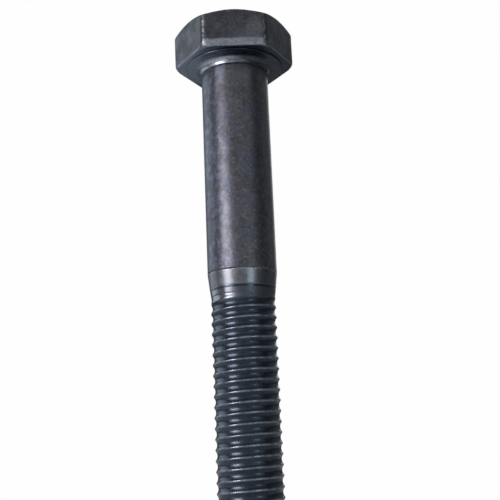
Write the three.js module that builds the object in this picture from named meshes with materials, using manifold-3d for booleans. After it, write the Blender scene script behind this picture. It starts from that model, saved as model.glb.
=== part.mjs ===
// Partly threaded hexagon head bolt, M12 x 1.75, in millimetres.
//
// The bolt is one forged and thread-rolled piece of steel. Its sub-parts are the stretches that the
// maker forges, turns or rolls in turn, stacked on the axis and meeting face to face on flat planes.
// +Z runs up the axis towards the head. The origin is on the axis in the plane of the bearing face,
// where a bolt's length is measured from, so the shank runs down to z = -LENGTH.

import * as THREE from 'three';
import { mergeVertices } from 'three/addons/utils/BufferGeometryUtils.js';
import Module from 'manifold-3d';

// Head
const ACROSS_FLATS = 19;
const HEAD_HEIGHT = 8;
const CORNER_RADIUS = 1.6;
const TOP_CIRCLE_DIAMETER = 16;
const TOP_CHAMFER_ANGLE = 30;
const WASHER_FACE_DIAMETER = 17.4;
const WASHER_FACE_HEIGHT = 0.25;
const NECK_DIAMETER = 14.4;

// Shank
const LENGTH = 90;
const SHANK_DIAMETER = 12;
const SHANK_END = 38.25;
const CONE_HEIGHT = 2.6;
const CONE_END_DIAMETER = 11.4;
const BLANK_START = 42.35;
const GROOVE_START = 41.8;
const BLANK_DIAMETER = 11;

// Thread
const PITCH = 1.75;
const THREAD_DIAMETER = 11.2;
const THREAD_DEPTH = 0.3;
const CREST_FLAT = 0.25;
const FLANK_ANGLE = 55;
const FIRST_FULL_CREST = 44.6;
const POINT_HEIGHT = 1.5;
const POINT_DIAMETER = 8.8;

// Facets
const ROUND_SEGMENTS = 64;
const THREAD_SEGMENTS = 32;
const FILLET_SEGMENTS = 6;
const CORNER_SEGMENTS = 4;
const OVERSIZE = 4;

// Planes where the thread's sub-parts meet
const RUNOUT_TOP = -SHANK_END - CONE_HEIGHT;
const THREAD_TOP = -FIRST_FULL_CREST - PITCH / 4;
const POINT_TOP = -LENGTH + POINT_HEIGHT;

const FINISH = {
  forged: { color: 0x33353a, roughness: 0.55, metalness: 0.7 },
  turned: { color: 0x2b3338, roughness: 0.4, metalness: 0.75 },
  drawn: { color: 0x373033, roughness: 0.42, metalness: 0.75 },
  burnished: { color: 0x44444a, roughness: 0.3, metalness: 0.8 },
  rolled: { color: 0x252c35, roughness: 0.32, metalness: 0.8 },
};

const wasm = await Module();
wasm.setup();

const radians = THREE.MathUtils.degToRad;

// How far a value is from start to end, from 0 to 1.
function shareBetween(start, end, value) {
  return THREE.MathUtils.clamp((value - start) / (end - start), 0, 1);
}

// A closed three.js geometry as a manifold solid.
function toSolid(geometry) {
  geometry.deleteAttribute('normal');
  geometry.deleteAttribute('uv');
  const merged = mergeVertices(geometry);
  const mesh = new wasm.Mesh({
    numProp: 3,
    vertProperties: new Float32Array(merged.attributes.position.array),
    triVerts: new Uint32Array(merged.index.array),
  });
  return new wasm.Manifold(mesh);
}

// A manifold solid as a three.js geometry.
function toGeometry(solid) {
  const mesh = solid.getMesh();
  const geometry = new THREE.BufferGeometry();
  geometry.setAttribute('position', new THREE.BufferAttribute(mesh.vertProperties, mesh.numProp));
  geometry.setIndex(new THREE.BufferAttribute(mesh.triVerts, 1));
  return geometry;
}

// A solid turned about Z, from an outline of [radius, z] points that starts and ends on the axis.
function turned(outline) {
  const profile = outline.map(([radius, z]) => new THREE.Vector2(radius, z));
  return new THREE.LatheGeometry(profile, ROUND_SEGMENTS).rotateX(Math.PI / 2);
}

function named(name, geometry, finish) {
  geometry.computeVertexNormals();
  const material = new THREE.MeshStandardMaterial({ ...finish, flatShading: true });
  const mesh = new THREE.Mesh(geometry, material);
  mesh.name = name;
  return mesh;
}

// A regular hexagon with a flat facing -Y and an arc at each corner, run counter-clockwise.
function hexagonOutline() {
  const arcCentreRadius = (ACROSS_FLATS / 2 - CORNER_RADIUS) / Math.cos(Math.PI / 6);
  const outline = new THREE.Shape();
  for (let corner = 0; corner < 6; corner += 1) {
    const direction = corner * Math.PI / 3;
    const x = arcCentreRadius * Math.cos(direction);
    const y = arcCentreRadius * Math.sin(direction);
    outline.absarc(x, y, CORNER_RADIUS, direction - Math.PI / 6, direction + Math.PI / 6, false);
  }
  outline.closePath();
  return outline;
}

// The hexagon prism, topped by the cone that chamfers its corners.
function hexHead() {
  const height = HEAD_HEIGHT - WASHER_FACE_HEIGHT;
  const prism = new THREE.ExtrudeGeometry(hexagonOutline(), {
    depth: height,
    bevelEnabled: false,
    curveSegments: CORNER_SEGMENTS,
  });
  prism.translate(0, 0, WASHER_FACE_HEIGHT);
  const topRadius = TOP_CIRCLE_DIAMETER / 2;
  const coneRadius = ACROSS_FLATS;
  const drop = (coneRadius - topRadius) * Math.tan(radians(TOP_CHAMFER_ANGLE));
  const chamfer = turned([
    [0, -OVERSIZE - drop],
    [coneRadius, -OVERSIZE - drop],
    [coneRadius, HEAD_HEIGHT - drop],
    [topRadius, HEAD_HEIGHT],
    [0, HEAD_HEIGHT],
  ]);
  return toGeometry(toSolid(prism).intersect(toSolid(chamfer)));
}

// The turned disc under the head that bears on the joint, with the quarter-round fillet at its neck.
function washerFaceNeck() {
  const filletRadius = (NECK_DIAMETER - SHANK_DIAMETER) / 2;
  const discRadius = WASHER_FACE_DIAMETER / 2;
  const outline = [[0, -filletRadius]];
  for (let step = 0; step <= FILLET_SEGMENTS; step += 1) {
    const angle = (step / FILLET_SEGMENTS) * Math.PI / 2;
    const radius = NECK_DIAMETER / 2 - filletRadius * Math.cos(angle);
    const z = filletRadius * (Math.sin(angle) - 1);
    outline.push([radius, z]);
  }
  outline.push([discRadius, 0]);
  outline.push([discRadius, WASHER_FACE_HEIGHT]);
  outline.push([0, WASHER_FACE_HEIGHT]);
  return turned(outline);
}

// The full-diameter shank, from the end of the fillet to the top of the cone.
function plainShank() {
  const radius = SHANK_DIAMETER / 2;
  const top = -(NECK_DIAMETER - SHANK_DIAMETER) / 2;
  return turned([[0, -SHANK_END], [radius, -SHANK_END], [radius, top], [0, top]]);
}

// The burnished upper stretch of the cone from the full shank down to the blank for the thread.
function shankCone() {
  return turned([
    [0, RUNOUT_TOP],
    [CONE_END_DIAMETER / 2, RUNOUT_TOP],
    [SHANK_DIAMETER / 2, -SHANK_END],
    [0, -SHANK_END],
  ]);
}

// The corners of one pitch of the thread's section: how far up the pitch each one is, and its radius.
function threadSection() {
  const crest = THREAD_DIAMETER / 2;
  const root = crest - THREAD_DEPTH;
  const flank = THREAD_DEPTH * Math.tan(radians(FLANK_ANGLE));
  const halfCrest = CREST_FLAT / 2;
  return [
    { up: -halfCrest, radius: crest },
    { up: halfCrest, radius: crest },
    { up: halfCrest + flank, radius: root },
    { up: PITCH - halfCrest - flank, radius: root },
  ];
}

// Under the cone the blank tapers on to its smallest diameter. From there the thread grows out of it:
// the crest starts as a flat land and rises, and the groove gets deeper, down to the first full crest.
function runoutRadius(radius, z) {
  const blank = BLANK_DIAMETER / 2;
  const coneEnd = CONE_END_DIAMETER / 2;
  const crest = THREAD_DIAMETER / 2;
  const tapered = shareBetween(-BLANK_START, RUNOUT_TOP, z);
  const grown = shareBetween(-BLANK_START, -FIRST_FULL_CREST, z);
  const land = blank + (coneEnd - blank) * tapered + (crest - blank) * grown;
  const lifted = shareBetween(-FIRST_FULL_CREST, -GROOVE_START, z);
  const groove = radius + (coneEnd - crest + THREAD_DEPTH) * lifted ** 2;
  return Math.min(land, groove);
}

// A right-hand screw as a grid of rows that climb one pitch per turn. Column i of the grid stands at
// one angle, and row j + section.length of column 0 is row j one full turn on. A fan closes each end.
function screwGeometry(bottom, top) {
  const section = threadSection();
  const turns = Math.ceil((top - bottom) / PITCH) + 2;
  const crestBelow = Math.ceil((FIRST_FULL_CREST + bottom) / PITCH) - 2;
  const start = -FIRST_FULL_CREST + crestBelow * PITCH;
  const rows = turns * section.length;
  const positions = [];
  const rowsInColumn = (column) => (column === 0 ? rows + section.length : rows);
  const firstOfColumn = [];
  for (let column = 0; column < THREAD_SEGMENTS; column += 1) {
    firstOfColumn.push(positions.length / 3);
    const turn = column / THREAD_SEGMENTS;
    const angle = turn * 2 * Math.PI - Math.PI / 2;
    for (let row = 0; row < rowsInColumn(column); row += 1) {
      const corner = section[row % section.length];
      const z = start + PITCH * (Math.floor(row / section.length) + turn) + corner.up;
      const radius = runoutRadius(corner.radius, z);
      positions.push(radius * Math.cos(angle), radius * Math.sin(angle), z);
    }
  }
  const vertex = (column, row) => (column === THREAD_SEGMENTS
    ? firstOfColumn[0] + row + section.length
    : firstOfColumn[column] + row);
  const triangles = [];
  for (let column = 0; column < THREAD_SEGMENTS; column += 1) {
    for (let row = 0; row < rows - 1; row += 1) {
      const a = vertex(column, row);
      const b = vertex(column + 1, row);
      const c = vertex(column + 1, row + 1);
      const d = vertex(column, row + 1);
      triangles.push(a, b, c, a, c, d);
    }
  }
  const bottomRim = [];
  const topRim = [];
  for (let column = 0; column <= THREAD_SEGMENTS; column += 1) {
    bottomRim.push(vertex(column, 0));
    topRim.push(vertex(column, rows - 1));
  }
  for (let row = section.length - 1; row > 0; row -= 1) {
    bottomRim.push(firstOfColumn[0] + row);
    topRim.push(firstOfColumn[0] + rows - 1 + row);
  }
  const bottomCentre = positions.length / 3;
  positions.push(0, 0, start);
  const topCentre = bottomCentre + 1;
  positions.push(0, 0, start + turns * PITCH);
  const fan = (rim, centre, facingUp) => {
    for (let step = 0; step < rim.length; step += 1) {
      const here = rim[step];
      const next = rim[(step + 1) % rim.length];
      triangles.push(...(facingUp ? [centre, here, next] : [centre, next, here]));
    }
  };
  fan(bottomRim, bottomCentre, false);
  fan(topRim, topCentre, true);
  const geometry = new THREE.BufferGeometry();
  geometry.setAttribute('position', new THREE.Float32BufferAttribute(positions, 3));
  geometry.setIndex(triangles);
  return geometry;
}

// The stretch of the screw between two planes, cut to the cone of the point at the bottom end.
function screwStretch(bottom, top) {
  const outline = [[0, bottom]];
  if (bottom < POINT_TOP) {
    outline.push([POINT_DIAMETER / 2, bottom]);
    outline.push([THREAD_DIAMETER / 2, top]);
  } else {
    outline.push([THREAD_DIAMETER, bottom]);
    outline.push([THREAD_DIAMETER, top]);
  }
  outline.push([0, top]);
  const screw = toSolid(screwGeometry(bottom - OVERSIZE, top + OVERSIZE));
  return toGeometry(screw.intersect(toSolid(turned(outline))));
}

const bolt = new THREE.Group();
bolt.name = 'hex_bolt';
bolt.add(named('hex_head', hexHead(), FINISH.forged));
bolt.add(named('washer_face_neck', washerFaceNeck(), FINISH.turned));
bolt.add(named('plain_shank', plainShank(), FINISH.drawn));
bolt.add(named('shank_cone', shankCone(), FINISH.burnished));
bolt.add(named('thread_runout', screwStretch(THREAD_TOP, RUNOUT_TOP), FINISH.rolled));
bolt.add(named('rolled_thread', screwStretch(POINT_TOP, THREAD_TOP), FINISH.rolled));
bolt.add(named('thread_point', screwStretch(-LENGTH, POINT_TOP), FINISH.rolled));

export default bolt;
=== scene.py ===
"""Looks of a partly threaded hexagon head bolt in black-oxide steel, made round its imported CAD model."""

from math import atan2, ceil, cos, floor, hypot, pi, radians, sin, tan

import bmesh
import bpy
from mathutils import Matrix, Vector, noise


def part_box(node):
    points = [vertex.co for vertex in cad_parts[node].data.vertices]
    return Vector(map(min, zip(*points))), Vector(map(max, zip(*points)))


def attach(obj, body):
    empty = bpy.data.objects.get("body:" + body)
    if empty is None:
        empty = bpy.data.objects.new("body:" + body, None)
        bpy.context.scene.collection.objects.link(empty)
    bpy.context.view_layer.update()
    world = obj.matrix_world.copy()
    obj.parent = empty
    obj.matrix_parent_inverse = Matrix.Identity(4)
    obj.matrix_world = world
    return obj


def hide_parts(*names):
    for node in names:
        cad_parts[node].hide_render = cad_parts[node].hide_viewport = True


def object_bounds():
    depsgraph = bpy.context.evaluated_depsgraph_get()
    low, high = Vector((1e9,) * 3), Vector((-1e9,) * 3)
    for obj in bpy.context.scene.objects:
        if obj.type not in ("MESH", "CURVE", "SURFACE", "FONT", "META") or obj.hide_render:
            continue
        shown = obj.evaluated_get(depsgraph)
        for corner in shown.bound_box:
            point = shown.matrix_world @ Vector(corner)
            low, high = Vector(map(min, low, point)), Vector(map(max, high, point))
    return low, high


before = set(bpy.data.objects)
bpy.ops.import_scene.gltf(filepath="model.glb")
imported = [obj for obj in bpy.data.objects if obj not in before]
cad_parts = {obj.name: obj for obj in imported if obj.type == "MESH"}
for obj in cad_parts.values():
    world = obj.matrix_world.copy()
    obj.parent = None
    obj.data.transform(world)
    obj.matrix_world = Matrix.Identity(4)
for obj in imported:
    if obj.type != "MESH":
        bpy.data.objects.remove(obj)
cad_low, cad_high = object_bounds()

MM = 0.001

# Head and collar
TOP_CIRCLE_RADIUS = 8 * MM
TOP_CHAMFER = radians(30)
TRIM_BAND_HEIGHT = 1.4 * MM
NARROW_BAND_SHARE = 0.35
TRIM_BAND_INSET = 0.06 * MM
TRIM_BAND_BLEND = 0.35 * MM
EDGE_ROUNDING = 0.2 * MM
CORNER_EDGE_ROUNDING = 0.6 * MM
FORGED_WAVE = 0.03 * MM
FORGED_LUMPS = 0.012 * MM
BLOTCH_ASIDE = 3.6 * MM
BLOTCH_HEIGHT = 3.4 * MM
BLOTCH_REACH_ASIDE = 1.9 * MM
BLOTCH_REACH_UP = 2.6 * MM
COLLAR_ROUNDING = 0.12 * MM
FILLET_SUPPORT = 0.25 * MM

# Sides that are painted paler where the lamps light them (painted light), as azimuths round the axis from
# the front
LIT_SIDE_AZIMUTH = radians(-78)
KEY_LIT_AZIMUTH = radians(-42)

# Cone and thread, with heights from the bearing face under the head
CONE_END_RADIUS = 5.7 * MM
BLANK_START = -42.35 * MM
GROOVE_START = -41.8 * MM
# Height of a thin line of painted shade in the crease just under the cone
CREASE_SHADE_LINE = -41.15 * MM
BLANK_RADIUS = 5.5 * MM
PITCH = 1.75 * MM
FLANK_ANGLE = radians(55)
THREAD_DEPTH = 0.3 * MM
CREST_ROUNDING = 0.28 * MM
LAND_SOFTNESS = 0.3 * MM
POINT_RADIUS = 4.4 * MM

# Fineness of the meshes
FLAT_STEPS = 22
CORNER_STEPS = 12
SIDE_ROWS = 14
ARC_STEPS = 4
FILLET_STEPS = 16
SHANK_ROWS = 120
CONE_ROWS = 28
ROUND_STEPS = 160
THREAD_STEPS = 128
CREST_STEPS = 4
ROOT_STEPS = 6
FLOOR_STEPS = 96

# Width of the noise lumps that scratches are cut from, in millimetres
SCRATCH_WIDTH = 0.16

# Camera, turned about the bolt's axis and aimed at a point beside it
CAMERA_LENS = 64.8
CAMERA_SENSOR = 36
CAMERA_NEAREST = 10 * MM
CAMERA_AZIMUTH = -1.6
CAMERA_ELEVATION = -13.5
CAMERA_ROLL = -2.4
CAMERA_DISTANCE = 156.8 * MM
AIM_ASIDE = 1.5 * MM
AIM_BELOW_HEAD = 33.9 * MM

# Floor
FLOOR_RADIUS = 250 * MM
FLOOR_FADE_START = 175 * MM

head_low, head_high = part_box("hex_head")
collar_low, collar_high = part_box("washer_face_neck")
shank_low, shank_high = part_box("plain_shank")
cone_low, cone_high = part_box("shank_cone")
runout_low, runout_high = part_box("thread_runout")
thread_low, thread_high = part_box("rolled_thread")
point_low, point_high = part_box("thread_point")

half_flats = head_high.y
corner_stretch = 1 / cos(pi / 6)
corner_radius = (half_flats * corner_stretch - head_high.x) / (corner_stretch - 1)
shank_radius = shank_high.x
crest_radius = thread_high.x
first_full_crest = thread_high.z + PITCH / 4


# Mesh tools

def share_between(start, end, value):
    return min(max((value - start) / (end - start), 0), 1)


def smooth_step(start, end, value):
    share = share_between(start, end, value)
    return share * share * (3 - 2 * share)


def facing(point, azimuth):
    """Cosine of the angle round the axis between a point and an azimuth, which is 0 at the front."""
    return (point.x * sin(azimuth) - point.y * cos(azimuth)) / hypot(point.x, point.y)


def rounded_noise(point, size, seed):
    """Smooth noise from about -1 to 1, with lumps of that size."""
    return noise.noise(Vector(point) / size + Vector((seed, 2.3 * seed, 5.1 * seed)))


def ring_mesh(name, rings):
    """A closed mesh from rings of points, lowest first, each run counter-clockwise seen from above."""
    count = len(rings[0])
    points = [point for ring in rings for point in ring]
    faces = [tuple(reversed(range(count)))]
    for ring in range(len(rings) - 1):
        base = ring * count
        for step in range(count):
            after = (step + 1) % count
            faces.append((base + step, base + after, base + count + after, base + count + step))
    top = (len(rings) - 1) * count
    faces.append(tuple(range(top, top + count)))
    mesh = bpy.data.meshes.new(name)
    mesh.from_pydata([tuple(point) for point in points], [], faces)
    for polygon in mesh.polygons:
        polygon.use_smooth = len(polygon.vertices) == 4
    piece = bpy.data.objects.new(name, mesh)
    bpy.context.scene.collection.objects.link(piece)
    return piece


def paint(piece, attribute, share_at):
    """Stores share_at(point), from 0 to 1, on each point of the piece, for its material to read."""
    stored = piece.data.attributes.new(attribute, "FLOAT", "POINT")
    values = [share_at(vertex.co) for vertex in piece.data.vertices]
    stored.data.foreach_set("value", values)


def fit_to_frame(piece, material, node):
    """Gives the piece its material, and lets it stand for a node of the CAD model."""
    piece.data.materials.append(material)
    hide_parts(node)
    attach(piece, "root")


def circle(radius, height, steps):
    """Points of a circle about the axis."""
    points = []
    for step in range(steps):
        angle = 2 * pi * step / steps
        points.append(Vector((radius * cos(angle), radius * sin(angle), height)))
    return points


def turned_mesh(name, outline):
    """A turned solid through an outline of (radius, height) points, lowest first."""
    return ring_mesh(name, [circle(radius, height, ROUND_STEPS) for radius, height in outline])


# Head

def hexagon_outline():
    """Points and outward normals of the rounded hexagon, with a flat facing -Y."""
    outline = []
    arc_centre = (half_flats - corner_radius) * corner_stretch
    for corner in range(6):
        direction = corner * pi / 3
        centre = Vector((cos(direction), sin(direction))) * arc_centre
        arc = []
        for step in range(CORNER_STEPS + 1):
            turn = direction + pi / 6 * (2 * step / CORNER_STEPS - 1)
            normal = Vector((cos(turn), sin(turn)))
            arc.append((centre + normal * corner_radius, normal))
        outline.extend(arc)
        start, normal = arc[-1]
        turn = direction + pi / 3
        next_centre = Vector((cos(turn), sin(turn))) * arc_centre
        end = next_centre + normal * corner_radius
        for step in range(1, FLAT_STEPS):
            outline.append((start.lerp(end, step / FLAT_STEPS), normal))
    return outline


def forged_unevenness(point):
    """How far a point of the forged head stands off its ideal place: a slow wave and small lumps."""
    wave = FORGED_WAVE * rounded_noise(point, 5 * MM, 1)
    lumps = FORGED_LUMPS * rounded_noise(point, 1.1 * MM, 2)
    return wave + lumps


def lower_rounding(point):
    """Radius of the edge under the flats, which is larger at the corners."""
    corner = smooth_step(half_flats * 1.07, head_high.x, hypot(point.x, point.y))
    return EDGE_ROUNDING + (CORNER_EDGE_ROUNDING - EDGE_ROUNDING) * corner


def band_share(point):
    """How much of the trimmed band's full height is left, which is all of it only at the front flat."""
    off_front = abs(atan2(point.x, -point.y))
    return 1 - (1 - NARROW_BAND_SHARE) * smooth_step(radians(26), radians(34), off_front)


def band_height(point):
    """Height of the trimmed band's uneven upper edge above the head's underside."""
    flat = Vector((point.x, point.y, 0))
    uneven = 0.16 * MM * rounded_noise(flat, 1.8 * MM, 7)
    return (TRIM_BAND_HEIGHT + uneven) * band_share(point)


def lower_outline(point):
    """(height, inset) points from the underside, round the lower edge and up to the flat."""
    low = head_low.z
    rounding = lower_rounding(point)
    heights = [(low, support * rounding + TRIM_BAND_INSET) for support in (2.2, 1.5)]
    for step in range(ARC_STEPS + 1):
        angle = step / ARC_STEPS * pi / 2
        inset = TRIM_BAND_INSET + rounding * (1 - sin(angle))
        heights.append((low + rounding * (1 - cos(angle)), inset))
    band = band_height(point)
    for share in (0.3, 0.6, 0.85):
        heights.append((low + rounding + (band - rounding) * share, TRIM_BAND_INSET))
    for rise, share in ((0.05 * MM, 0.8), (0.15 * MM, 0.5), (0.25 * MM, 0.2), (TRIM_BAND_BLEND, 0)):
        heights.append((low + band + rise, TRIM_BAND_INSET * share))
    return heights


def side_ring(outline, share):
    """The ring at that share of the way up the flats, from the trimmed band to the chamfer."""
    ring = []
    for point, normal in outline:
        start = head_low.z + band_height(point) + TRIM_BAND_BLEND
        end = chamfer_height(point.length) - EDGE_ROUNDING
        ring.append(at_inset(point, normal, 0, start + (end - start) * share))
    return ring


def top_ring(outline, share, drop):
    """A ring on the head's top, at that share of the top circle's radius."""
    ring = []
    for point, _ in outline:
        place = Vector((point.x, point.y, 0)).normalized() * (TOP_CIRCLE_RADIUS * share)
        place.z = head_high.z - drop
        ring.append(place)
    return ring


def head_rings():
    """Rings from the underside, round the lower edge, up the flats, over the chamfer and onto the top."""
    outline = hexagon_outline()
    rings = []
    for share in (0.6, 0.68, 0.76):
        rings.append([Vector((point.x * share, point.y * share, head_low.z)) for point, _ in outline])
    columns = []
    for point, normal in outline:
        columns.append([at_inset(point, normal, inset, height) for height, inset in lower_outline(point)])
    rings.extend(list(ring) for ring in zip(*columns))
    for row in range(1, SIDE_ROWS + 1):
        rings.append(side_ring(outline, row / SIDE_ROWS))
    for inset, drop in ((0.1, 0.45), (0.45, 0.1)):
        rings.append([
            on_chamfer(point, normal, 0, inset * EDGE_ROUNDING, drop * EDGE_ROUNDING)
            for point, normal in outline
        ])
    for share in (0.03, 0.12, 0.3, 0.5, 0.7, 0.85, 0.93):
        rings.append([on_chamfer(point, normal, share, 0, 0) for point, normal in outline])
    for share, drop in ((1.0, 0.035 * MM), (0.98, 0.008 * MM), (0.95, 0), (0.6, 0), (0.25, 0)):
        rings.append(top_ring(outline, share, drop))
    return rings


def at_inset(point, normal, inset, height):
    """A point of the forged side, that far inside the hexagon's outline."""
    place = Vector((point.x - normal.x * inset, point.y - normal.y * inset, height))
    off = forged_unevenness(place)
    return place + Vector((normal.x * off, normal.y * off, 0))


def chamfer_height(radius):
    return head_high.z - (radius - TOP_CIRCLE_RADIUS) * tan(TOP_CHAMFER)


def on_chamfer(point, normal, share, inset, drop):
    """A point on the chamfer cone, that share of the way from the hexagon's outline to the top circle."""
    outward = Vector((point.x, point.y, 0)).normalized()
    radius = point.length + (TOP_CIRCLE_RADIUS - point.length) * share
    place = outward * radius - Vector((normal.x, normal.y, 0)) * inset
    place.z = chamfer_height(radius) - drop
    return place + outward * forged_unevenness(place) * (1 - share)


def head_wear(point):
    """Bare metal along the corners, the lower edge and the chamfer's rim."""
    angle = (atan2(point.y, point.x) / (pi / 3)) % 1
    corner = 1 - smooth_step(0.004, 0.022, min(angle, 1 - angle))
    off_chamfer = abs(point.z - chamfer_height(hypot(point.x, point.y)))
    rim = 1 - smooth_step(0, 0.3 * MM, off_chamfer)
    low_edge = 1 - smooth_step(0.1 * MM, 0.35 * MM, point.z - head_low.z)
    outside = smooth_step(half_flats - 0.5 * MM, half_flats - 0.2 * MM, hypot(point.x, point.y))
    return max(corner, rim * 0.5, low_edge * 0.6) * outside


def head_underside(point):
    """The flat underside, up to where its edge rounding starts, where a dark painted shade goes."""
    return 1 - smooth_step(0.05 * MM, 0.2 * MM, point.z - head_low.z)


def lit_side_share(point):
    """The left side of the bolt, facing the lamps, which is painted paler there as painted light."""
    return smooth_step(0.25, 0.95, facing(point, LIT_SIDE_AZIMUTH))


def head_blotch(point):
    """An oval paler patch on the right part of the front flat."""
    across = (point.x - BLOTCH_ASIDE) / BLOTCH_REACH_ASIDE
    up = (point.z - BLOTCH_HEIGHT) / BLOTCH_REACH_UP
    on_front = smooth_step(0.9, 0.99, -point.y / half_flats)
    return (1 - smooth_step(0.55, 1.1, hypot(across, up))) * on_front


def head_band(point):
    """The smooth sheared band along the lower edge of the flats."""
    top = head_low.z + band_height(point)
    height = 1 - smooth_step(top - 0.1 * MM, top + 0.3 * MM, point.z)
    outside = smooth_step(half_flats - 0.45 * MM, half_flats - 0.2 * MM, hypot(point.x, point.y))
    return height * outside * band_share(point)


def make_head(material):
    head = ring_mesh("head", head_rings())
    paint(head, "wear", head_wear)
    paint(head, "band", head_band)
    paint(head, "blotch", head_blotch)
    paint(head, "underside", head_underside)
    paint(head, "painted_lit_side", lit_side_share)
    fit_to_frame(head, material, "hex_head")


# Collar, shank and cone

def arc(centre_radius, centre_height, radius, start, end, steps):
    """Points of an arc in an outline, from one angle to another, in degrees."""
    points = []
    for step in range(steps + 1):
        angle = radians(start + (end - start) * step / steps)
        points.append((centre_radius + radius * cos(angle), centre_height + radius * sin(angle)))
    return points


def collar_outline():
    """The fillet from the shank to the bearing face, the face and its rounded edge."""
    fillet = -collar_low.z
    edge = collar_high.x
    outline = arc(shank_radius + fillet, -fillet, fillet, 180, 90, FILLET_STEPS)
    outline.append((shank_radius + fillet + FILLET_SUPPORT, 0))
    outline.append((edge - 2.5 * COLLAR_ROUNDING, 0))
    outline.extend(arc(edge - COLLAR_ROUNDING, COLLAR_ROUNDING, COLLAR_ROUNDING, -90, 0, ARC_STEPS))
    outline.append((edge, collar_high.z))
    return outline


def collar_wear_and_highlight(point):
    """The fillet, with a little wear all round and a painted highlight on the side facing the key light."""
    worn = 0.1 + 0.9 * smooth_step(0.5, 0.98, facing(point, KEY_LIT_AZIMUTH))
    return worn * smooth_step(0, 0.3 * collar_low.z, point.z)


def make_collar(material):
    collar = turned_mesh("bearing_collar", collar_outline())
    paint(collar, "wear", collar_wear_and_highlight)
    paint(collar, "painted_lit_side", lit_side_share)
    fit_to_frame(collar, material, "washer_face_neck")


def straight_outline(low_radius, high_radius, low, high, rows):
    """Points of a cylinder's or cone's outline, evenly spread from its low to its high end."""
    outline = []
    for row in range(rows + 1):
        share = row / rows
        outline.append((low_radius + (high_radius - low_radius) * share, low + (high - low) * share))
    return outline


def make_shank(material):
    outline = straight_outline(shank_radius, shank_radius, shank_low.z, shank_high.z, SHANK_ROWS)
    shank = turned_mesh("shank", outline)
    paint(shank, "painted_lit_side", lit_side_share)
    fit_to_frame(shank, material, "plain_shank")


def cone_wear(point):
    """The rim between the shank and the cone."""
    return smooth_step(cone_high.z - 0.25 * MM, cone_high.z, point.z)


def cone_lit_side(point):
    """The side of the cone that faces the key light, painted paler there and darker away from it: painted
    light and painted shade.
    """
    return smooth_step(0.22, 0.5, facing(point, KEY_LIT_AZIMUTH))


def make_cone(material):
    outline = straight_outline(CONE_END_RADIUS, shank_radius, cone_low.z, cone_high.z, CONE_ROWS)
    cone = turned_mesh("burnished_cone", outline)
    paint(cone, "wear", cone_wear)
    paint(cone, "painted_lit_side", cone_lit_side)
    fit_to_frame(cone, material, "shank_cone")


# Thread

def thread_section():
    """Points (distance along the pitch, depth) from crest to crest, with a round crest and root."""
    flank = tan(FLANK_ANGLE)
    arc_span = cos(FLANK_ANGLE)
    arc_drop = 1 - sin(FLANK_ANGLE)
    roundings = (PITCH / 2 - THREAD_DEPTH * flank) / (arc_span - arc_drop * flank)
    root_rounding = roundings - CREST_ROUNDING
    half = []
    for step in range(CREST_STEPS + 1):
        angle = (pi / 2 - FLANK_ANGLE) * step / CREST_STEPS
        half.append((CREST_ROUNDING * sin(angle), CREST_ROUNDING * (1 - cos(angle))))
    for step in range(ROOT_STEPS, -1, -1):
        angle = (pi / 2 - FLANK_ANGLE) * step / ROOT_STEPS
        along = PITCH / 2 - root_rounding * sin(angle)
        half.append((along, THREAD_DEPTH - root_rounding * (1 - cos(angle))))
    rising = [(PITCH - along, depth) for along, depth in reversed(half[1:-1])]
    return half + rising


section = thread_section()


def section_depth(along):
    """Depth below the crest at a distance along one pitch."""
    for (a, depth_a), (b, depth_b) in zip(section, section[1:] + [(PITCH, 0)]):
        if along <= b:
            return depth_a + (depth_b - depth_a) * (along - a) / (b - a)
    return 0


def lesser(first, second, softness):
    """The smaller of two values, with the corner between them rounded."""
    if softness == 0:
        return min(first, second)
    overlap = max(softness - abs(first - second), 0)
    return min(first, second) - overlap * overlap / (4 * softness)


def limit_radius(radius, height):
    """Fades the thread out under the cone, where the blank tapers to its smallest, the crest grows
    out of it as a flat land and the groove gets deeper, and cuts it to the chamfered point."""
    tapered = share_between(BLANK_START, runout_high.z, height)
    grown = share_between(BLANK_START, first_full_crest, height)
    land = BLANK_RADIUS + (CONE_END_RADIUS - BLANK_RADIUS) * tapered
    land += (crest_radius - BLANK_RADIUS) * grown
    lifted = share_between(first_full_crest, GROOVE_START, height)
    groove = radius + (CONE_END_RADIUS - crest_radius + THREAD_DEPTH) * lifted * lifted
    limited = lesser(land, groove, LAND_SOFTNESS * 4 * lifted * (1 - lifted))
    rise = (height - point_low.z) / (point_high.z - point_low.z)
    if rise >= 1:
        return limited
    return min(limited, POINT_RADIUS + (crest_radius - POINT_RADIUS) * rise)


def depth_at(angle, height):
    """Depth below the crest of the full thread in any direction, at any height."""
    climb = PITCH * (angle + pi / 2) / (2 * pi)
    return section_depth((height - first_full_crest - climb) % PITCH)


def thread_radius(angle, height):
    return limit_radius(crest_radius - depth_at(angle, height), height)


def thread_normal(point):
    """Normal of the exact thread surface, from small steps round the axis and along it."""
    angle = atan2(point.y, point.x)
    turn, rise = 0.001, 0.002 * MM
    across = (thread_radius(angle + turn, point.z) - thread_radius(angle - turn, point.z)) / (2 * turn)
    up = (thread_radius(angle, point.z + rise) - thread_radius(angle, point.z - rise)) / (2 * rise)
    radius = thread_radius(angle, point.z)
    outward = Vector((cos(angle), sin(angle), 0))
    sideways = Vector((-sin(angle), cos(angle), 0))
    around = outward * across + sideways * radius
    along = outward * up + Vector((0, 0, 1))
    return around.cross(along).normalized()


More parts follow.
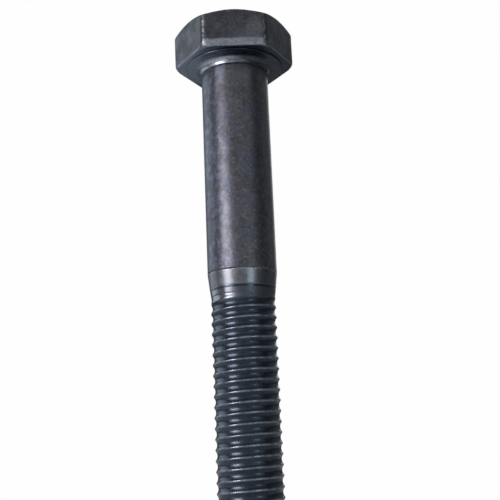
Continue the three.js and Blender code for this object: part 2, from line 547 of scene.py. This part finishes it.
def screw_mesh():
    """The whole screw as rows that climb one pitch a turn, a little longer than the thread at both ends."""
    bottom = point_low.z - 2 * PITCH
    top = runout_high.z + 2 * PITCH
    start = first_full_crest + floor((bottom - first_full_crest) / PITCH) * PITCH
    turns = ceil((top - start) / PITCH)
    per_turn = len(section)
    rows = turns * per_turn
    made = bmesh.new()
    columns = []
    for column in range(THREAD_STEPS):
        turn = column / THREAD_STEPS
        angle = 2 * pi * turn - pi / 2
        line = []
        for row in range(rows + (per_turn if column == 0 else 0)):
            along, depth = section[row % per_turn]
            height = start + PITCH * (row // per_turn + turn) + along
            radius = limit_radius(crest_radius - depth, max(height, point_low.z))
            line.append(made.verts.new((radius * cos(angle), radius * sin(angle), height)))
        columns.append(line)
    columns.append(columns[0][per_turn:])
    for here, there in zip(columns, columns[1:]):
        for row in range(rows - 1):
            made.faces.new((here[row], there[row], there[row + 1], here[row + 1]))
    return made


def cut_flat(made, height, keep_below):
    """Cuts the mesh at a height, keeps one side and closes it with a flat face."""
    parts = list(made.verts) + list(made.edges) + list(made.faces)
    cut_away = (0, 0, 1) if keep_below else (0, 0, -1)
    cut = bmesh.ops.bisect_plane(
        made, geom=parts, dist=1e-9, plane_co=(0, 0, height), plane_no=cut_away, clear_outer=True)
    edges = [part for part in cut["geom_cut"] if isinstance(part, bmesh.types.BMEdge)]
    bmesh.ops.edgeloop_fill(made, edges=edges)


def screw_piece(name, whole, low, high):
    """A stretch of the screw between two heights, smooth on its thread and flat on its ends."""
    made = whole.copy()
    cut_flat(made, high, True)
    cut_flat(made, low, False)
    bmesh.ops.recalc_face_normals(made, faces=made.faces)
    mesh = bpy.data.meshes.new(name)
    made.to_mesh(mesh)
    made.free()
    at_vertex = [tuple(thread_normal(vertex.co)) for vertex in mesh.vertices]
    corner_normals = []
    for polygon in mesh.polygons:
        side = len(polygon.vertices) <= 5
        polygon.use_smooth = side
        for vertex in polygon.vertices:
            corner_normals.append(at_vertex[vertex] if side else (0, 0, 0))
    mesh.normals_split_custom_set(corner_normals)
    piece = bpy.data.objects.new(name, mesh)
    bpy.context.scene.collection.objects.link(piece)
    paint(piece, "wear", thread_wear)
    paint(piece, "land", thread_land)
    paint(piece, "painted_lit_side", lit_side_share)
    return piece


def thread_wear(point):
    """Bare metal on the crests, which ends where they sink into the blank."""
    depth = depth_at(atan2(point.y, point.x), point.z)
    crest = 1 - smooth_step(0, 0.3 * THREAD_DEPTH, depth)
    return crest * (1 - smooth_step(first_full_crest, BLANK_START, point.z))


def thread_land(point):
    """The blank and the flat land where the crest starts, polished by the rolling dies and given a painted
    highlight on its lit side, apart from a thin line of painted shade in the crease just under the cone."""
    depth = depth_at(atan2(point.y, point.x), point.z)
    groove = smooth_step(0.5 * THREAD_DEPTH, 0.8 * THREAD_DEPTH, depth)
    below_blank = smooth_step(BLANK_START, BLANK_START - 0.9 * MM, point.z)
    full_thread = smooth_step(BLANK_START - 0.6 * MM, BLANK_START - 1.2 * MM, point.z)
    line = 1 - smooth_step(0.1 * MM, 0.25 * MM, abs(point.z - CREASE_SHADE_LINE))
    return (1 - groove * below_blank) * (1 - full_thread) * (1 - line)


def make_thread(material):
    whole = screw_mesh()
    stretches = (
        ("runout_thread", "thread_runout", runout_low.z, runout_high.z),
        ("full_thread", "rolled_thread", thread_low.z, thread_high.z),
        ("chamfered_point", "thread_point", point_low.z, point_high.z),
    )
    for name, node, low, high in stretches:
        piece = screw_piece(name, whole, low, high)
        fit_to_frame(piece, material, node)
    whole.free()


# Materials

class Nodes:
    """Short ways to add the nodes of one material."""

    def __init__(self, name):
        self.material = bpy.data.materials.new(name)
        self.material.use_nodes = True
        self.tree = self.material.node_tree
        self.tree.nodes.clear()

    def add(self, kind, settings, inputs):
        made = self.tree.nodes.new(kind)
        for key, value in settings.items():
            setattr(made, key, value)
        for key, value in inputs.items():
            if isinstance(value, bpy.types.NodeSocket):
                self.tree.links.new(value, made.inputs[key])
            else:
                made.inputs[key].default_value = value
        return made

    def place(self, stretch=(1, 1, 1), turn=(0, 0, 0)):
        """Position on the piece in millimetres, turned and then stretched."""
        coordinates = self.add("ShaderNodeTexCoord", {}, {})
        mapping = self.add("ShaderNodeMapping", {"vector_type": "TEXTURE"}, {
            "Vector": coordinates.outputs["Object"], "Rotation": turn,
            "Scale": tuple(length * MM for length in stretch)})
        return mapping.outputs["Vector"]

    def noise(self, place, scale, detail=3.0, roughness=0.55):
        """Noise with lumps of 1 / scale millimetres."""
        made = self.add("ShaderNodeTexNoise", {}, {
            "Vector": place, "Scale": scale, "Detail": detail, "Roughness": roughness})
        return made.outputs["Fac"]

    def between(self, value, low, high, to_low=0.0, to_high=1.0):
        """Value taken smoothly from one range to another, and held inside it."""
        made = self.add("ShaderNodeMapRange", {"interpolation_type": "SMOOTHSTEP"}, {
            "Value": value, "From Min": low, "From Max": high, "To Min": to_low, "To Max": to_high})
        return made.outputs["Result"]

    def maths(self, operation, first, second):
        made = self.add("ShaderNodeMath", {"operation": operation}, {0: first, 1: second})
        return made.outputs["Value"]

    def mix(self, share, first, second):
        """A colour between two, which are colours or sockets. The node's colour sockets share their
        names with its others, so they are found by number."""
        made = self.add("ShaderNodeMix", {"data_type": "RGBA"}, {"Factor": share})
        for index, value in ((6, first), (7, second)):
            if isinstance(value, bpy.types.NodeSocket):
                self.tree.links.new(value, made.inputs[index])
            else:
                made.inputs[index].default_value = (*value, 1)
        return made.outputs[2]

    def attribute(self, name):
        """The share that was painted on the piece under that name."""
        made = self.add("ShaderNodeAttribute", {"attribute_name": name}, {})
        return made.outputs["Fac"]

    def bump(self, height, depth):
        made = self.add("ShaderNodeBump", {}, {"Height": height, "Strength": 1.0, "Distance": depth})
        return made.outputs["Normal"]

    def length(self, place):
        made = self.add("ShaderNodeVectorMath", {"operation": "LENGTH"}, {"Vector": place})
        return made.outputs["Value"]

    def finish(self, color, roughness, normal, metallic, coat=0.0, alpha=1.0):
        """The finished material, with its shader joined to the output."""
        shader = self.add("ShaderNodeBsdfPrincipled", {}, {
            "Base Color": color, "Roughness": roughness, "Normal": normal, "Metallic": metallic,
            "Coat Weight": coat, "Coat Roughness": 0.25, "Alpha": alpha})
        output = self.add("ShaderNodeOutputMaterial", {}, {})
        self.tree.links.new(shader.outputs["BSDF"], output.inputs["Surface"])
        return self.material


def scratches(nodes, turn, length, rarity):
    """Rare straight thin lines in one direction, which is X until it is turned."""
    stretched = nodes.place((length, SCRATCH_WIDTH, SCRATCH_WIDTH), turn)
    return nodes.between(nodes.noise(stretched, 1.0, 0.0), rarity, rarity + 0.05)


def specks(nodes, scale, rarity):
    """Small pale dots, gathered in patches."""
    patches = nodes.noise(nodes.place(), 0.22, 2.0)
    dots = nodes.noise(nodes.place(), scale, 2.0, 0.7)
    gathered = nodes.maths("ADD", dots, nodes.maths("MULTIPLY", patches, 0.35))
    return nodes.between(gathered, rarity, rarity + 0.16)


def steel_for_head():
    nodes = Nodes("forged_black_oxide")
    place = nodes.place()
    mottle = nodes.between(nodes.noise(place, 0.4, 6.0, 0.65), 0.35, 0.68)
    grain = nodes.noise(place, 2.6, 4.0, 0.65)
    color = nodes.mix(mottle, (0.052, 0.053, 0.061), (0.092, 0.094, 0.106))
    color = nodes.mix(nodes.between(grain, 0.5, 0.75, 0.0, 0.5), color, (0.17, 0.17, 0.185))
    color = nodes.mix(specks(nodes, 1.3, 0.90), color, (0.15, 0.15, 0.165))
    band = nodes.maths("MULTIPLY", nodes.attribute("band"), nodes.between(grain, 0.32, 0.6, 0.45, 1.0))
    color = nodes.mix(band, color, (0.30, 0.315, 0.352))
    patches = nodes.between(nodes.noise(place, 1.3, 4.0, 0.7), 0.44, 0.6)
    blotch = nodes.maths("MULTIPLY", nodes.attribute("blotch"), nodes.between(grain, 0.35, 0.6, 0.1, 0.55))
    color = nodes.mix(blotch, color, (0.17, 0.165, 0.185))
    wear = nodes.maths("MULTIPLY", nodes.attribute("wear"), patches)
    color = nodes.mix(wear, color, (0.36, 0.37, 0.40))
    # Painted shade on the underside, dark and blue, with a painted lighter tone on its lit left part.
    low = nodes.mix(nodes.attribute("painted_lit_side"), (0.031, 0.040, 0.061), (0.20, 0.245, 0.30))
    color = nodes.mix(nodes.attribute("underside"), color, low)
    color = nodes.mix(scratches(nodes, (0.5, 1.1, 0.3), 1.5, 0.80), color, (0.19, 0.19, 0.21))
    rough = nodes.maths("ADD", grain, nodes.maths("MULTIPLY", mottle, -0.2))
    roughness = nodes.between(rough, 0.2, 0.7, 0.32, 0.52)
    normal = nodes.bump(nodes.maths("ADD", grain, nodes.noise(place, 1.0, 4.0)), 0.022 * MM)
    return nodes.finish(color, roughness, normal, 0.85)


def steel_for_collar():
    nodes = Nodes("turned_black_oxide")
    place = nodes.place()
    grain = nodes.noise(place, 2.4, 3.0)
    mottle = nodes.between(nodes.noise(place, 0.45, 5.0), 0.35, 0.65)
    # A dark tone as painted shade under the head, painted paler on the lit left side as painted light.
    dark = nodes.mix(mottle, (0.022, 0.029, 0.043), (0.034, 0.043, 0.060))
    color = nodes.mix(nodes.attribute("painted_lit_side"), dark, (0.18, 0.22, 0.27))
    patches = nodes.between(grain, 0.3, 0.55, 0.5, 1.0)
    # A little wear on the fillet, and mostly a painted highlight on the side facing the key light.
    wear = nodes.maths("MULTIPLY", nodes.attribute("wear"), patches)
    color = nodes.mix(wear, color, (0.40, 0.42, 0.465))
    roughness = nodes.between(grain, 0.3, 0.7, 0.26, 0.36)
    return nodes.finish(color, roughness, nodes.bump(grain, 0.004 * MM), 0.85)


def steel_for_shank():
    nodes = Nodes("drawn_black_oxide")
    place = nodes.place()
    mottle = nodes.between(nodes.noise(place, 0.4, 7.0, 0.68), 0.33, 0.68)
    grain = nodes.noise(place, 1.9, 5.0, 0.62)
    color = nodes.mix(mottle, (0.066, 0.064, 0.072), (0.100, 0.099, 0.110))
    patina = nodes.between(nodes.noise(nodes.place((1, 1, 1.6)), 0.6, 6.0, 0.7), 0.47, 0.62, 0.0, 0.55)
    color = nodes.mix(patina, color, (0.092, 0.100, 0.150))
    # Pale blue blotches, shown only on the lit left side: mottling with a painted sheen of the bluish left
    # light.
    lit_side_blotches = nodes.between(nodes.noise(place, 0.85, 6.0, 0.7), 0.47, 0.62, 0.0, 0.75)
    lit_side_blotches = nodes.maths("MULTIPLY", lit_side_blotches, nodes.attribute("painted_lit_side"))
    color = nodes.mix(lit_side_blotches, color, (0.17, 0.19, 0.26))
    color = nodes.mix(nodes.between(grain, 0.46, 0.72, 0.0, 0.5), color, (0.19, 0.19, 0.205))
    color = nodes.mix(specks(nodes, 1.3, 0.88), color, (0.17, 0.17, 0.19))
    on_front = scratches(nodes, (0, 0.25, 0.1), 1.6, 0.775)
    on_sides = scratches(nodes, (0, 0.1, 1.5), 1.3, 0.79)
    lines = nodes.maths("MAXIMUM", on_front, on_sides)
    color = nodes.mix(nodes.maths("MULTIPLY", lines, 0.5), color, (0.30, 0.30, 0.33))
    rough = nodes.maths("ADD", grain, nodes.maths("MULTIPLY", mottle, -0.2))
    roughness = nodes.between(rough, 0.2, 0.7, 0.30, 0.44)
    return nodes.finish(color, roughness, nodes.bump(grain, 0.016 * MM), 0.85)


def steel_for_cone():
    nodes = Nodes("burnished_black_oxide")
    place = nodes.place()
    rings = nodes.noise(nodes.place((6.0, 6.0, 0.4)), 1.6, 3.0, 0.6)
    mottle = nodes.noise(place, 0.9, 4.0, 0.65)
    # A darker tone away from the lamps and a paler one on the lit side: painted shade and painted light.
    dark = nodes.mix(nodes.between(mottle, 0.35, 0.65), (0.087, 0.091, 0.103), (0.120, 0.124, 0.140))
    pale = nodes.mix(nodes.between(mottle, 0.35, 0.65), (0.150, 0.153, 0.171), (0.206, 0.209, 0.231))
    color = nodes.mix(nodes.attribute("painted_lit_side"), dark, pale)
    wear = nodes.maths("MULTIPLY", nodes.attribute("wear"), nodes.between(mottle, 0.42, 0.58))
    color = nodes.mix(wear, color, (0.36, 0.38, 0.42))
    roughness = nodes.between(mottle, 0.3, 0.7, 0.28, 0.36)
    return nodes.finish(color, roughness, nodes.bump(rings, 0.003 * MM), 0.9)


def steel_for_thread():
    nodes = Nodes("rolled_black_oxide")
    place = nodes.place()
    grain = nodes.noise(place, 2.4, 4.0, 0.6)
    mottle = nodes.between(nodes.noise(place, 0.5, 4.0), 0.35, 0.65)
    painted_lit_side = nodes.attribute("painted_lit_side")
    # Paler on the lit left side: painted light.
    dark = nodes.mix(mottle, (0.020, 0.029, 0.042), (0.033, 0.045, 0.063))
    color = nodes.mix(painted_lit_side, dark, (0.050, 0.066, 0.090))
    patches = nodes.between(nodes.noise(place, 0.8, 4.0), 0.35, 0.6, 0.4, 1.0)
    wear = nodes.maths("MULTIPLY", nodes.attribute("wear"), patches)
    color = nodes.mix(nodes.maths("MULTIPLY", wear, 0.9), color, (0.25, 0.28, 0.32))
    land = nodes.attribute("land")
    # The polished land, painted much paler on the lit side as a painted highlight.
    polished = nodes.mix(painted_lit_side, (0.070, 0.080, 0.100), (0.24, 0.25, 0.28))
    color = nodes.mix(land, color, polished)
    rougher = nodes.maths("MULTIPLY", land, nodes.between(painted_lit_side, 0.0, 0.6, 0.18, -0.07))
    roughness = nodes.maths("ADD", nodes.between(grain, 0.3, 0.7, 0.2, 0.34), rougher)
    return nodes.finish(color, roughness, nodes.bump(grain, 0.006 * MM), 0.85, 0.2)


# Stage

def make_camera():
    camera = bpy.data.objects.new("camera", bpy.data.cameras.new("camera"))
    bpy.context.scene.collection.objects.link(camera)
    bpy.context.scene.camera = camera
    camera.data.sensor_width = CAMERA_SENSOR
    camera.data.lens = CAMERA_LENS
    camera.data.clip_start = CAMERA_NEAREST
    azimuth, elevation = radians(CAMERA_AZIMUTH), radians(CAMERA_ELEVATION)
    back = Vector((sin(azimuth) * cos(elevation), -cos(azimuth) * cos(elevation), sin(elevation)))
    right = Vector((cos(azimuth), sin(azimuth), 0))
    aim = right * AIM_ASIDE - Vector((0, 0, AIM_BELOW_HEAD))
    camera.location = aim + back * CAMERA_DISTANCE
    roll = Matrix.Rotation(radians(CAMERA_ROLL), 4, back)
    camera.rotation_euler = (roll @ back.to_track_quat("Z", "Y").to_matrix().to_4x4()).to_euler()


def softbox(name, azimuth, elevation, distance, size, power, color):
    """A soft rectangular lamp in a direction from the cone, which the camera itself doesn't see. The
    direction is in degrees, the distance and size are in metres and the power is in watts."""
    lamp = bpy.data.lights.new(name, "AREA")
    lamp.shape = "RECTANGLE"
    lamp.size, lamp.size_y = size
    lamp.energy = power
    lamp.color = color
    light = bpy.data.objects.new(name, lamp)
    bpy.context.scene.collection.objects.link(light)
    turn, lift = radians(azimuth), radians(elevation)
    away = Vector((sin(turn) * cos(lift), -cos(turn) * cos(lift), sin(lift)))
    light.location = Vector((0, 0, cone_low.z)) + away * distance
    light.rotation_euler = away.to_track_quat("Z", "Y").to_euler()
    light.visible_camera = False


def make_lights():
    softbox("key_low", -51, 0, 0.26, (0.12, 0.05), 0.082, (0.97, 0.96, 1.0))
    softbox("key_middle", -50, 10, 0.40, (0.20, 0.10), 0.57, (0.97, 0.96, 1.0))
    softbox("key_high", -51, 28, 0.42, (0.19, 0.16), 0.205, (0.97, 0.96, 1.0))
    softbox("front_fill", 10, 22, 0.60, (1.0, 0.5), 0.74, (0.98, 0.98, 1.0))
    softbox("right_fill", 112, 22, 0.45, (0.3, 0.3), 0.04, (0.96, 0.98, 1.0))
    softbox("left_fill", -118, 20, 0.45, (0.34, 0.3), 0.38, (0.80, 0.89, 1.0))
    softbox("window", 27, -2, 0.24, (0.062, 0.03), 0.038, (0.72, 0.93, 1.0))
    softbox("back_fill", 165, 25, 0.5, (0.3, 0.3), 0.3, (1.0, 1.0, 1.0))
    softbox("top_fill", 0, 90, 0.6, (0.7, 0.7), 0.5, (1.0, 1.0, 1.0))


def make_world():
    """White to the camera, and a dim grey room to everything else."""
    world = bpy.data.worlds.new("room")
    bpy.context.scene.world = world
    world.use_nodes = True
    tree = world.node_tree
    tree.nodes.clear()
    path = tree.nodes.new("ShaderNodeLightPath")
    seen = tree.nodes.new("ShaderNodeBackground")
    seen.inputs["Color"].default_value = (0.985, 0.99, 0.985, 1)
    room = tree.nodes.new("ShaderNodeBackground")
    room.inputs["Color"].default_value = (0.86, 0.93, 1.0, 1)
    room.inputs["Strength"].default_value = 0.13
    mix = tree.nodes.new("ShaderNodeMixShader")
    output = tree.nodes.new("ShaderNodeOutputWorld")
    tree.links.new(path.outputs["Is Camera Ray"], mix.inputs["Fac"])
    tree.links.new(room.outputs["Background"], mix.inputs[1])
    tree.links.new(seen.outputs["Background"], mix.inputs[2])
    tree.links.new(mix.outputs["Shader"], output.inputs["Surface"])


def make_floor():
    """A pale disc under the bolt's point, which fades out towards its rim."""
    mesh = bpy.data.meshes.new("floor")
    mesh.from_pydata(circle(FLOOR_RADIUS, 0, FLOOR_STEPS), [], [tuple(range(FLOOR_STEPS))])
    floor_piece = bpy.data.objects.new("floor", mesh)
    floor_piece.location.z = cad_low.z
    bpy.context.scene.collection.objects.link(floor_piece)
    nodes = Nodes("pale_floor")
    place = nodes.place()
    tint = nodes.mix(nodes.noise(place, 0.02), (0.86, 0.86, 0.86), (0.9, 0.9, 0.9))
    grain = nodes.noise(place, 0.5)
    solid = nodes.between(nodes.length(place), FLOOR_FADE_START / MM, FLOOR_RADIUS / MM, 1.0, 0.0)
    mesh.materials.append(nodes.finish(tint, 0.8, nodes.bump(grain, 0.01 * MM), 0.0, alpha=solid))


bpy.context.scene.view_settings.view_transform = "Standard"
make_camera()
make_world()
make_lights()
make_floor()
make_head(steel_for_head())
make_collar(steel_for_collar())
make_shank(steel_for_shank())
make_cone(steel_for_cone())
make_thread(steel_for_thread())
